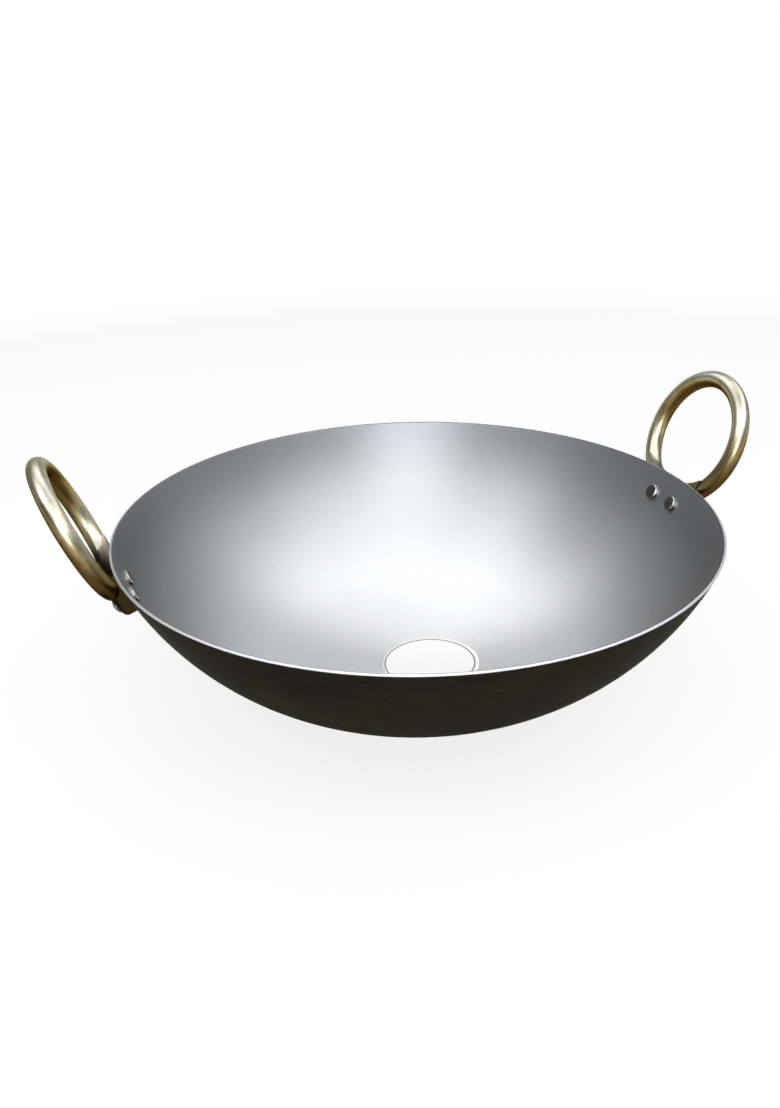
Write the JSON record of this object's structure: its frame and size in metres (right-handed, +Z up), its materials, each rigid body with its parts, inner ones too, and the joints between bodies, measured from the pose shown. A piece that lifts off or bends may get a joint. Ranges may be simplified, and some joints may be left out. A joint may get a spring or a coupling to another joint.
{
  "type": "kadai",
  "caption": "Round-bottomed deep cooking pan of sheet steel with riveted brass ring handles.",
  "frame": {"origin": "middle of the flat base, on the surface that the pan stands on", "axes": "+Z up, +X through the right handle, Y across"},
  "size_m": [0.3576, 0.3, 0.1432],
  "materials": {
    "bowl_steel": "ground bright inside and on the cut rim, black-brown fired scale outside",
    "handle_brass": "polished casting, lightly worn",
    "rivet_steel": "dull plated",
    "label_paper": "coated paper, white with a thin dark border"
  },
  "bodies": {
    "root": {"bowl": "bowl_steel", "handle_right": "handle_brass", "handle_left": "handle_brass", "rivet_right_front": "rivet_steel", "rivet_right_back": "rivet_steel", "rivet_left_front": "rivet_steel", "rivet_left_back": "rivet_steel", "label": "label_paper"}
  },
  "joints": []
}
